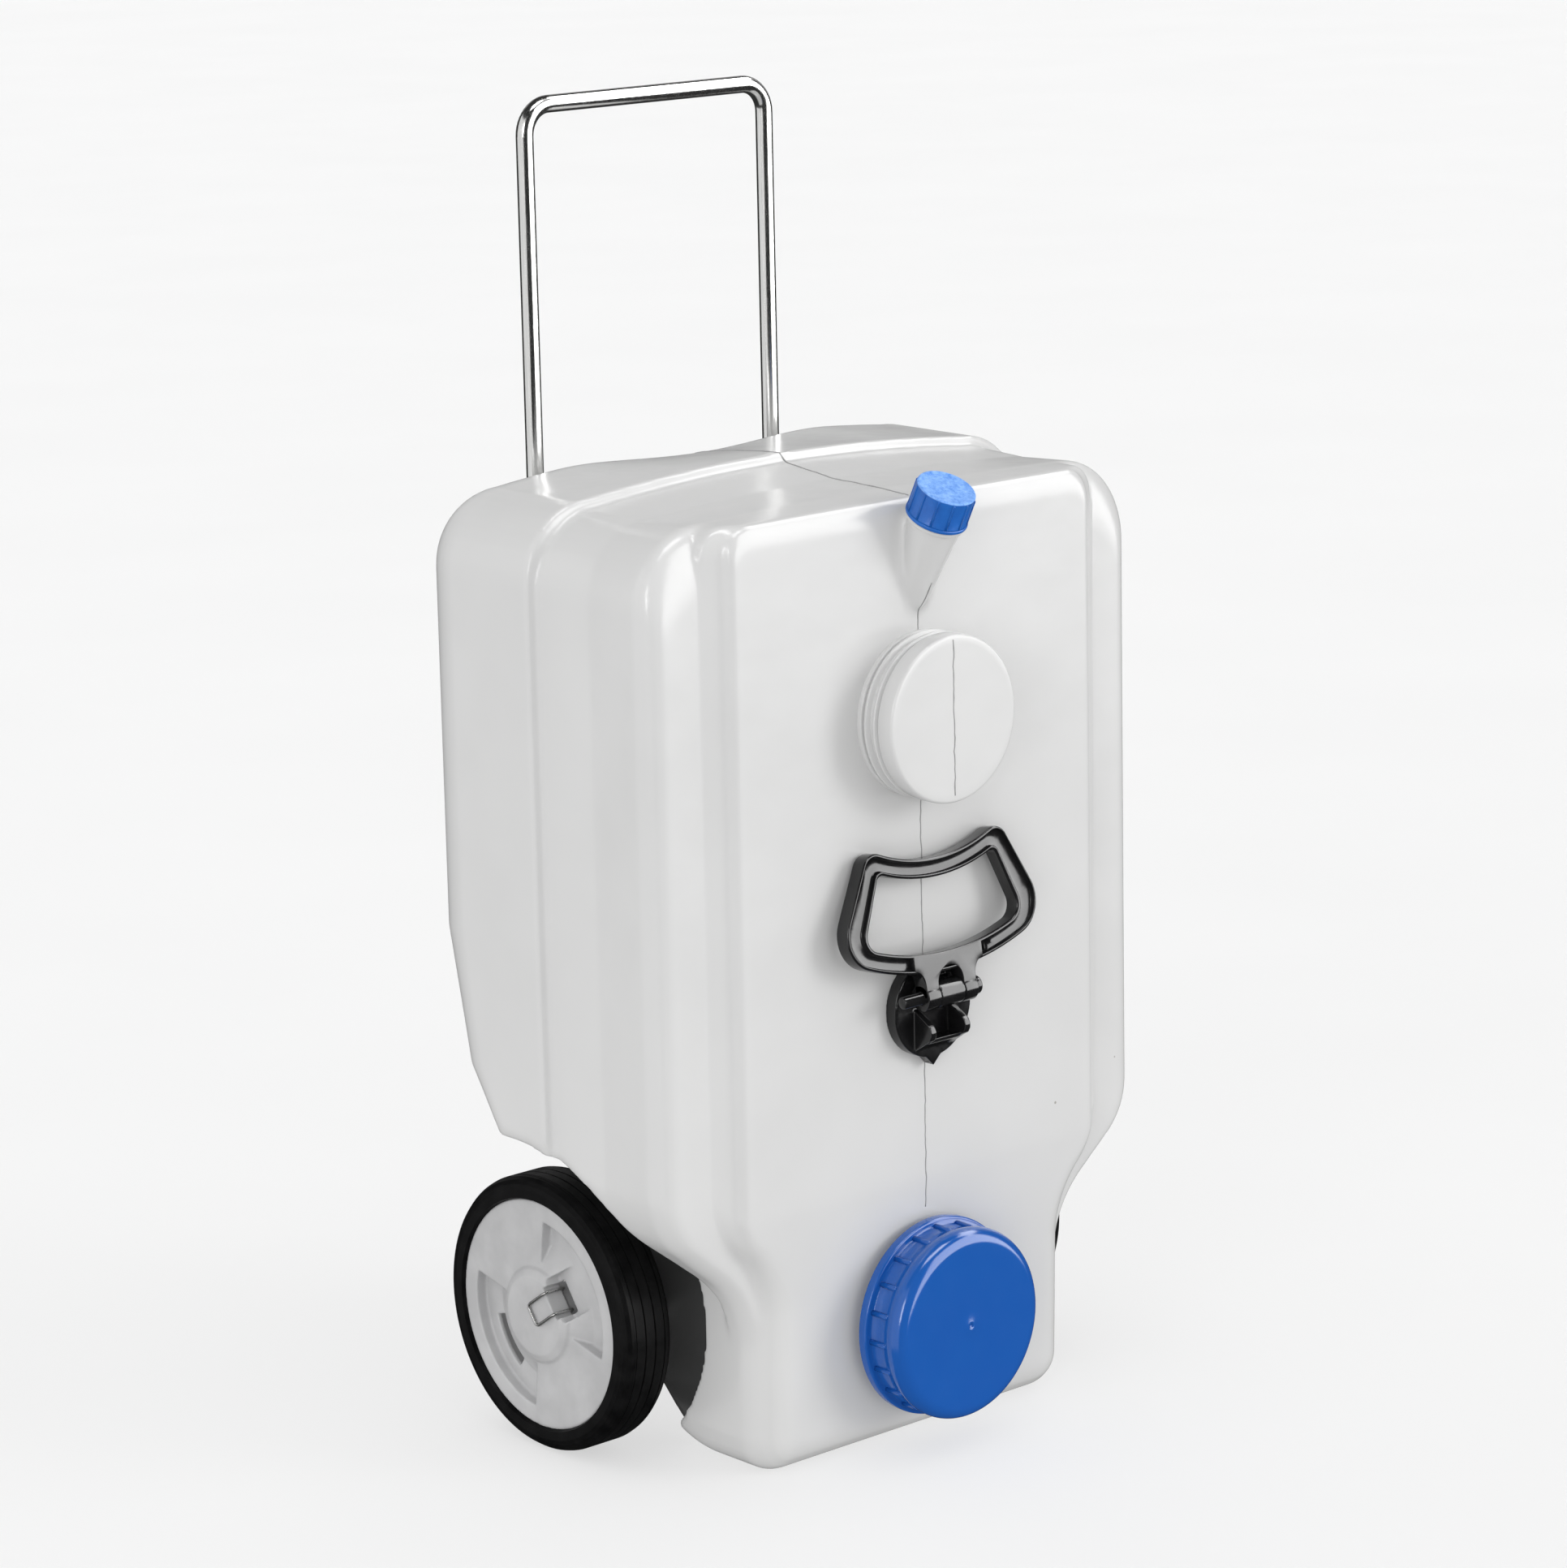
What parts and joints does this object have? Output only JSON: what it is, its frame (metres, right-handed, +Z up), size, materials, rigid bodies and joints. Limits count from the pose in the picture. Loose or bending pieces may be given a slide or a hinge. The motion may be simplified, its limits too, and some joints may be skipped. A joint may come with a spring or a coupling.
{
  "type": "wheeled water tank",
  "caption": "Blow-moulded roll-along water tank with side wheels, pull-out bow handle, folding carry loop, a large screw cap low in front and a small capped spout.",
  "frame": {"origin": "middle of the footprint on the floor, at the pull handle's pulled-out pose", "axes": "+Z up, +X to the viewer's right when facing the front panel, -Y out of the front panel"},
  "size_m": [0.3726, 0.2672, 0.756],
  "materials": {
    "tank_plastic": "satin moulded white polyethylene",
    "blue_plastic": "satin moulded blue polypropylene",
    "black_plastic": "glossy black moulded",
    "guide_plastic": "matte dark grey moulded",
    "wheel_plastic": "satin light grey moulded",
    "tyre_rubber": "matte black rubber with fine grooves",
    "seal_rubber": "soft flat ring",
    "polished_steel": "bright polished rod",
    "zinc_steel": "zinc plated"
  },
  "bodies": {
    "tank": {"tank_shell": "tank_plastic", "upper_guide": "guide_plastic", "lower_guide": "guide_plastic", "guide_screws": "zinc_steel", "axle": "zinc_steel", "axle_washer_left": "guide_plastic", "axle_washer_right": "guide_plastic", "carry_handle_base": "black_plastic", "carry_handle_pin": "black_plastic"},
    "handle": {"pull_handle": "polished_steel", "handle_stop_left": "black_plastic", "handle_stop_right": "black_plastic"},
    "wheel_left": {"wheel_rim_left": "wheel_plastic", "tyre_left": "tyre_rubber", "wheel_clip_left": "zinc_steel"},
    "wheel_right": {"wheel_rim_right": "wheel_plastic", "tyre_right": "tyre_rubber", "wheel_clip_right": "zinc_steel"},
    "large_seal": {"large_cap_seal": "seal_rubber"},
    "large_lid": {"large_cap": "blue_plastic"},
    "small_seal": {"small_cap_seal": "seal_rubber"},
    "small_lid": {"small_cap": "blue_plastic"},
    "carry_loop": {"carry_handle_loop": "black_plastic"}
  },
  "joints": [
    {"name": "handle_slide", "type": "slide", "parent": "tank", "child": "handle", "axis": [0, 0, 1], "range_m": [-0.215, 0]},
    {"name": "wheel_left_spin", "type": "hinge", "parent": "tank", "child": "wheel_left", "pos_m": [-0.1535, 0.04762, 0.08], "axis": [1, 0, 0], "continuous": true},
    {"name": "wheel_right_spin", "type": "hinge", "parent": "tank", "child": "wheel_right", "pos_m": [0.1535, 0.04762, 0.08], "axis": [1, 0, 0], "continuous": true},
    {"name": "large_cap_lift", "type": "slide", "parent": "tank", "child": "large_seal", "axis": [0, -1, 0], "range_m": [0, 0.016]},
    {"name": "large_cap_turn", "type": "hinge", "parent": "large_seal", "child": "large_lid", "pos_m": [0, -0.11438, 0.075], "axis": [0, -1, 0], "range_deg": [0, 720]},
    {"name": "small_cap_lift", "type": "slide", "parent": "tank", "child": "small_seal", "axis": [0, -0.454, 0.891], "range_m": [0, 0.008]},
    {"name": "small_cap_turn", "type": "hinge", "parent": "small_seal", "child": "small_lid", "pos_m": [0, -0.09438, 0.503], "axis": [0, -0.454, 0.891], "range_deg": [0, 720]},
    {"name": "carry_loop_hinge", "type": "hinge", "parent": "tank", "child": "carry_loop", "pos_m": [0, -0.11238, 0.266], "axis": [1, 0, 0], "range_deg": [0, 130]}
  ],
  "couplings": [
    {"joint": "large_cap_lift", "follows": "large_cap_turn", "m_per_rad": 0.0012732},
    {"joint": "small_cap_lift", "follows": "small_cap_turn", "m_per_rad": 0.00063662}
  ]
}
